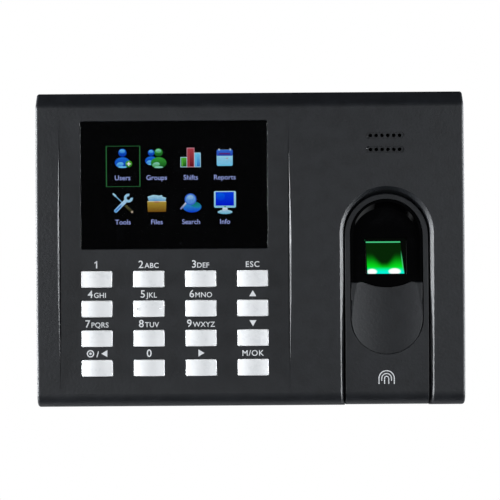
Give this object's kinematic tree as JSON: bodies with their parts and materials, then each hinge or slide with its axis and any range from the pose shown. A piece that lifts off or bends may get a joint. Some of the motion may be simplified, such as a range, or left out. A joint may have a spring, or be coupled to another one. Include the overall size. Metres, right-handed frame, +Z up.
{
  "type": "fingerprint scanner terminal",
  "caption": "Wall-mounted fingerprint terminal with a colour display, a white-key pad and an arched finger bay over an optical sensor.",
  "frame": {"origin": "middle of the wall plate's four-screw pattern, on the wall", "axes": "+X to the right seen from the front, +Y into the wall, +Z up"},
  "size_m": [0.185, 0.0301, 0.136],
  "materials": {
    "case_black": "fine spark-eroded texture, near-black moulded ABS",
    "case_black_rear": "coarser texture, near-black moulded ABS",
    "plate_steel": "zinc-plated pressed steel",
    "screw_steel": "zinc-plated steel",
    "window_gloss": "polished acrylic with a black printed border",
    "tin_plate": "bright tin-plated steel",
    "display_glass": "liquid-crystal panel",
    "flat_cable": "white flat flexible cable",
    "silicone_grey": "grey silicone rubber",
    "board_green": "green soldermask on glass-fibre board",
    "hood_gloss": "polished black plastic",
    "sensor_glass": "polished optical glass over green light",
    "inner_black": "matt black moulded plastic",
    "lamp_green": "green lamps on a strip",
    "foam_black": "closed-cell foam",
    "cone_paper": "treated film",
    "connector_cream": "cream nylon",
    "chip_black": "black epoxy",
    "socket_black": "black nylon",
    "contact_gold": "gold-plated contacts",
    "key_white": "satin white with a faint pearl"
  },
  "bodies": {
    "terminal": {"bezel_screws": "screw_steel", "board_chips": "chip_black", "board_connectors": "connector_cream", "board_screws": "screw_steel", "case_screws": "screw_steel", "cell_holder": "connector_cream", "coin_cell": "tin_plate", "display_window": "window_gloss", "finger_rest": "case_black", "front_shell": "case_black", "keypad_board": "board_green", "keypad_membrane": "silicone_grey", "keypad_ribbon": "flat_cable", "keypad_screws": "screw_steel", "lcd_frame": "tin_plate", "lcd_panel": "display_glass", "lcd_ribbon": "flat_cable", "lcd_screws": "screw_steel", "main_board": "board_green", "network_contacts": "contact_gold", "network_socket": "socket_black", "power_jack": "socket_black", "rear_shell": "case_black_rear", "reset_switch": "socket_black", "security_screw": "screw_steel", "sensor_bezel": "case_black", "sensor_board": "board_green", "sensor_glass": "sensor_glass", "sensor_hood": "hood_gloss", "sensor_housing": "inner_black", "sensor_lens": "inner_black", "sensor_lights": "lamp_green", "speaker_basket": "tin_plate", "speaker_clips": "screw_steel", "speaker_cone": "cone_paper", "speaker_gasket": "foam_black", "tamper_switch": "socket_black", "usb_socket": "tin_plate", "usb_tongue": "connector_cream", "wall_plate": "plate_steel"},
    "key_0_body": {"key_0": "key_white"},
    "key_1_body": {"key_1": "key_white"},
    "key_2_body": {"key_2": "key_white"},
    "key_3_body": {"key_3": "key_white"},
    "key_4_body": {"key_4": "key_white"},
    "key_5_body": {"key_5": "key_white"},
    "key_6_body": {"key_6": "key_white"},
    "key_7_body": {"key_7": "key_white"},
    "key_8_body": {"key_8": "key_white"},
    "key_9_body": {"key_9": "key_white"},
    "key_down_body": {"key_down": "key_white"},
    "key_esc_body": {"key_esc": "key_white"},
    "key_left_body": {"key_left": "key_white"},
    "key_ok_body": {"key_ok": "key_white"},
    "key_right_body": {"key_right": "key_white"},
    "key_up_body": {"key_up": "key_white"},
    "tamper_plunger_body": {"tamper_plunger": "connector_cream"},
    "reset_button_body": {"reset_button": "connector_cream"}
  },
  "joints": [
    {"name": "key_0_press", "type": "slide", "parent": "terminal", "child": "key_0_body", "axis": [0, 1, 0], "range_m": [0, 0.0008], "stiffness_N_per_m": 800},
    {"name": "key_1_press", "type": "slide", "parent": "terminal", "child": "key_1_body", "axis": [0, 1, 0], "range_m": [0, 0.0008], "stiffness_N_per_m": 800},
    {"name": "key_2_press", "type": "slide", "parent": "terminal", "child": "key_2_body", "axis": [0, 1, 0], "range_m": [0, 0.0008], "stiffness_N_per_m": 800},
    {"name": "key_3_press", "type": "slide", "parent": "terminal", "child": "key_3_body", "axis": [0, 1, 0], "range_m": [0, 0.0008], "stiffness_N_per_m": 800},
    {"name": "key_4_press", "type": "slide", "parent": "terminal", "child": "key_4_body", "axis": [0, 1, 0], "range_m": [0, 0.0008], "stiffness_N_per_m": 800},
    {"name": "key_5_press", "type": "slide", "parent": "terminal", "child": "key_5_body", "axis": [0, 1, 0], "range_m": [0, 0.0008], "stiffness_N_per_m": 800},
    {"name": "key_6_press", "type": "slide", "parent": "terminal", "child": "key_6_body", "axis": [0, 1, 0], "range_m": [0, 0.0008], "stiffness_N_per_m": 800},
    {"name": "key_7_press", "type": "slide", "parent": "terminal", "child": "key_7_body", "axis": [0, 1, 0], "range_m": [0, 0.0008], "stiffness_N_per_m": 800},
    {"name": "key_8_press", "type": "slide", "parent": "terminal", "child": "key_8_body", "axis": [0, 1, 0], "range_m": [0, 0.0008], "stiffness_N_per_m": 800},
    {"name": "key_9_press", "type": "slide", "parent": "terminal", "child": "key_9_body", "axis": [0, 1, 0], "range_m": [0, 0.0008], "stiffness_N_per_m": 800},
    {"name": "key_down_press", "type": "slide", "parent": "terminal", "child": "key_down_body", "axis": [0, 1, 0], "range_m": [0, 0.0008], "stiffness_N_per_m": 800},
    {"name": "key_esc_press", "type": "slide", "parent": "terminal", "child": "key_esc_body", "axis": [0, 1, 0], "range_m": [0, 0.0008], "stiffness_N_per_m": 800},
    {"name": "key_left_press", "type": "slide", "parent": "terminal", "child": "key_left_body", "axis": [0, 1, 0], "range_m": [0, 0.0008], "stiffness_N_per_m": 800},
    {"name": "key_ok_press", "type": "slide", "parent": "terminal", "child": "key_ok_body", "axis": [0, 1, 0], "range_m": [0, 0.0008], "stiffness_N_per_m": 800},
    {"name": "key_right_press", "type": "slide", "parent": "terminal", "child": "key_right_body", "axis": [0, 1, 0], "range_m": [0, 0.0008], "stiffness_N_per_m": 800},
    {"name": "key_up_press", "type": "slide", "parent": "terminal", "child": "key_up_body", "axis": [0, 1, 0], "range_m": [0, 0.0008], "stiffness_N_per_m": 800},
    {"name": "tamper_press", "type": "slide", "parent": "terminal", "child": "tamper_plunger_body", "axis": [0, -1, 0], "range_m": [0, 0.0006], "stiffness_N_per_m": 300},
    {"name": "reset_press", "type": "slide", "parent": "terminal", "child": "reset_button_body", "axis": [0, -1, 0], "range_m": [0, 0.00025], "stiffness_N_per_m": 1500}
  ]
}
